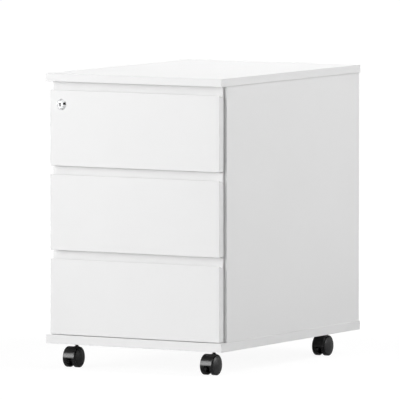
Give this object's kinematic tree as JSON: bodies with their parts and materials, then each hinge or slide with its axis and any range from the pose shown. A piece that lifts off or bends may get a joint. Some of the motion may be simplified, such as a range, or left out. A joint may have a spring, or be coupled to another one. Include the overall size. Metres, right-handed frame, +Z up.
{
  "type": "rolling pedestal cabinet",
  "caption": "White under-desk pedestal with stacked drawers opened by milled finger grips, a central lock and black twin-wheel swivel casters",
  "frame": {"origin": "on the floor, under the middle of the top panel", "axes": "+Z up, +X to the right seen from the front, +Y to the back; the drawers open towards -Y"},
  "size_m": [0.412, 0.58, 0.6],
  "materials": {
    "white_melamine": "white melamine-faced board, satin",
    "white_board": "white foil-wrapped board, satin",
    "beech": "plain beech dowel",
    "black_gloss": "black moulded plastic, glossy",
    "black_plastic": "black moulded plastic, semi-gloss",
    "dark_plastic": "dark grey moulded plastic",
    "white_plastic": "white moulded plastic roller",
    "white_steel": "white powder-coated sheet steel",
    "zinc": "bright zinc-plated steel",
    "black_steel": "black-finished steel",
    "chrome": "polished chrome"
  },
  "bodies": {
    "carcass": {"top_panel": "white_melamine", "base_panel": "white_melamine", "side_panel_left": "white_melamine", "side_panel_right": "white_melamine", "back_panel": "white_melamine", "carcass_cams": "zinc", "carcass_dowels": "beech", "base_screws": "zinc", "runner_screws": "zinc", "caster_sockets": "zinc", "runner_rails_1": "white_steel", "runner_rails_2": "white_steel", "runner_rails_3": "white_steel", "lock_bar_guides": "dark_plastic"},
    "drawer_1": {"drawer_1_front": "white_melamine", "drawer_1_sides": "white_board", "drawer_1_back": "white_board", "drawer_1_bottom": "white_board", "drawer_1_rails": "white_steel", "drawer_1_fittings": "zinc", "lock_housing": "chrome", "lock_nut": "zinc"},
    "runner_rollers_1": {"runner_rollers_1": "white_plastic"},
    "drawer_1_rollers": {"drawer_1_rollers": "white_plastic"},
    "drawer_2": {"drawer_2_front": "white_melamine", "drawer_2_sides": "white_board", "drawer_2_back": "white_board", "drawer_2_bottom": "white_board", "drawer_2_rails": "white_steel", "drawer_2_fittings": "zinc"},
    "runner_rollers_2": {"runner_rollers_2": "white_plastic"},
    "drawer_2_rollers": {"drawer_2_rollers": "white_plastic"},
    "drawer_3": {"drawer_3_front": "white_melamine", "drawer_3_sides": "white_board", "drawer_3_back": "white_board", "drawer_3_bottom": "white_board", "drawer_3_rails": "white_steel", "drawer_3_fittings": "zinc"},
    "runner_rollers_3": {"runner_rollers_3": "white_plastic"},
    "drawer_3_rollers": {"drawer_3_rollers": "white_plastic"},
    "lock_plug": {"lock_plug": "chrome", "lock_tail": "zinc"},
    "lock_bar": {"lock_bar": "zinc"},
    "caster_fl": {"caster_fl_hood": "black_gloss", "caster_fl_pins": "black_steel"},
    "caster_fl_wheel_left": {"caster_fl_wheel_left": "black_plastic"},
    "caster_fl_wheel_right": {"caster_fl_wheel_right": "black_plastic"},
    "caster_fr": {"caster_fr_hood": "black_gloss", "caster_fr_pins": "black_steel"},
    "caster_fr_wheel_left": {"caster_fr_wheel_left": "black_plastic"},
    "caster_fr_wheel_right": {"caster_fr_wheel_right": "black_plastic"},
    "caster_rl": {"caster_rl_hood": "black_gloss", "caster_rl_pins": "black_steel"},
    "caster_rl_wheel_left": {"caster_rl_wheel_left": "black_plastic"},
    "caster_rl_wheel_right": {"caster_rl_wheel_right": "black_plastic"},
    "caster_rr": {"caster_rr_hood": "black_gloss", "caster_rr_pins": "black_steel"},
    "caster_rr_wheel_left": {"caster_rr_wheel_left": "black_plastic"},
    "caster_rr_wheel_right": {"caster_rr_wheel_right": "black_plastic"}
  },
  "joints": [
    {"name": "drawer_1_slide", "type": "slide", "parent": "carcass", "child": "drawer_1", "axis": [0, -1, 0], "range_m": [0, 0.38]},
    {"name": "runner_rollers_1_turn", "type": "hinge", "parent": "carcass", "child": "runner_rollers_1", "pos_m": [0, -0.224, 0.43933], "axis": [1, 0, 0], "continuous": true},
    {"name": "drawer_1_rollers_turn", "type": "hinge", "parent": "drawer_1", "child": "drawer_1_rollers", "pos_m": [0, 0.222, 0.43733], "axis": [1, 0, 0], "continuous": true},
    {"name": "drawer_2_slide", "type": "slide", "parent": "carcass", "child": "drawer_2", "axis": [0, -1, 0], "range_m": [0, 0.38]},
    {"name": "runner_rollers_2_turn", "type": "hinge", "parent": "carcass", "child": "runner_rollers_2", "pos_m": [0, -0.224, 0.26767], "axis": [1, 0, 0], "continuous": true},
    {"name": "drawer_2_rollers_turn", "type": "hinge", "parent": "drawer_2", "child": "drawer_2_rollers", "pos_m": [0, 0.222, 0.26567], "axis": [1, 0, 0], "continuous": true},
    {"name": "drawer_3_slide", "type": "slide", "parent": "carcass", "child": "drawer_3", "axis": [0, -1, 0], "range_m": [0, 0.38]},
    {"name": "runner_rollers_3_turn", "type": "hinge", "parent": "carcass", "child": "runner_rollers_3", "pos_m": [0, -0.224, 0.096], "axis": [1, 0, 0], "continuous": true},
    {"name": "drawer_3_rollers_turn", "type": "hinge", "parent": "drawer_3", "child": "drawer_3_rollers", "pos_m": [0, 0.222, 0.094], "axis": [1, 0, 0], "continuous": true},
    {"name": "key_turn", "type": "hinge", "parent": "drawer_1", "child": "lock_plug", "pos_m": [-0.1715, -0.285, 0.537], "axis": [0, 1, 0], "range_deg": [0, 90]},
    {"name": "lock_bar_lift", "type": "slide", "parent": "carcass", "child": "lock_bar", "axis": [0, 0, 1], "range_m": [0, 0.00905]},
    {"name": "caster_fl_swivel", "type": "hinge", "parent": "carcass", "child": "caster_fl", "pos_m": [-0.161, -0.2415, 0.046], "axis": [0, 0, 1], "continuous": true},
    {"name": "caster_fl_wheel_left_turn", "type": "hinge", "parent": "caster_fl", "child": "caster_fl_wheel_left", "pos_m": [-0.161, -0.2539, 0.02], "axis": [1, 0, 0], "continuous": true},
    {"name": "caster_fl_wheel_right_turn", "type": "hinge", "parent": "caster_fl", "child": "caster_fl_wheel_right", "pos_m": [-0.161, -0.2539, 0.02], "axis": [1, 0, 0], "continuous": true},
    {"name": "caster_fr_swivel", "type": "hinge", "parent": "carcass", "child": "caster_fr", "pos_m": [0.161, -0.2415, 0.046], "axis": [0, 0, 1], "continuous": true},
    {"name": "caster_fr_wheel_left_turn", "type": "hinge", "parent": "caster_fr", "child": "caster_fr_wheel_left", "pos_m": [0.161, -0.2539, 0.02], "axis": [1, 0, 0], "continuous": true},
    {"name": "caster_fr_wheel_right_turn", "type": "hinge", "parent": "caster_fr", "child": "caster_fr_wheel_right", "pos_m": [0.161, -0.2539, 0.02], "axis": [1, 0, 0], "continuous": true},
    {"name": "caster_rl_swivel", "type": "hinge", "parent": "carcass", "child": "caster_rl", "pos_m": [-0.161, 0.224, 0.046], "axis": [0, 0, 1], "continuous": true},
    {"name": "caster_rl_wheel_left_turn", "type": "hinge", "parent": "caster_rl", "child": "caster_rl_wheel_left", "pos_m": [-0.161, 0.2116, 0.02], "axis": [1, 0, 0], "continuous": true},
    {"name": "caster_rl_wheel_right_turn", "type": "hinge", "parent": "caster_rl", "child": "caster_rl_wheel_right", "pos_m": [-0.161, 0.2116, 0.02], "axis": [1, 0, 0], "continuous": true},
    {"name": "caster_rr_swivel", "type": "hinge", "parent": "carcass", "child": "caster_rr", "pos_m": [0.161, 0.224, 0.046], "axis": [0, 0, 1], "continuous": true},
    {"name": "caster_rr_wheel_left_turn", "type": "hinge", "parent": "caster_rr", "child": "caster_rr_wheel_left", "pos_m": [0.161, 0.2116, 0.02], "axis": [1, 0, 0], "continuous": true},
    {"name": "caster_rr_wheel_right_turn", "type": "hinge", "parent": "caster_rr", "child": "caster_rr_wheel_right", "pos_m": [0.161, 0.2116, 0.02], "axis": [1, 0, 0], "continuous": true}
  ],
  "couplings": [
    {"joint": "runner_rollers_1_turn", "follows": "drawer_1_slide", "rad_per_m": 105.26},
    {"joint": "drawer_1_rollers_turn", "follows": "drawer_1_slide", "rad_per_m": 105.26},
    {"joint": "runner_rollers_2_turn", "follows": "drawer_2_slide", "rad_per_m": 105.26},
    {"joint": "drawer_2_rollers_turn", "follows": "drawer_2_slide", "rad_per_m": 105.26},
    {"joint": "runner_rollers_3_turn", "follows": "drawer_3_slide", "rad_per_m": 105.26},
    {"joint": "drawer_3_rollers_turn", "follows": "drawer_3_slide", "rad_per_m": 105.26},
    {"joint": "key_turn", "follows": "lock_bar_lift", "rad_per_m": 173.55}
  ]
}
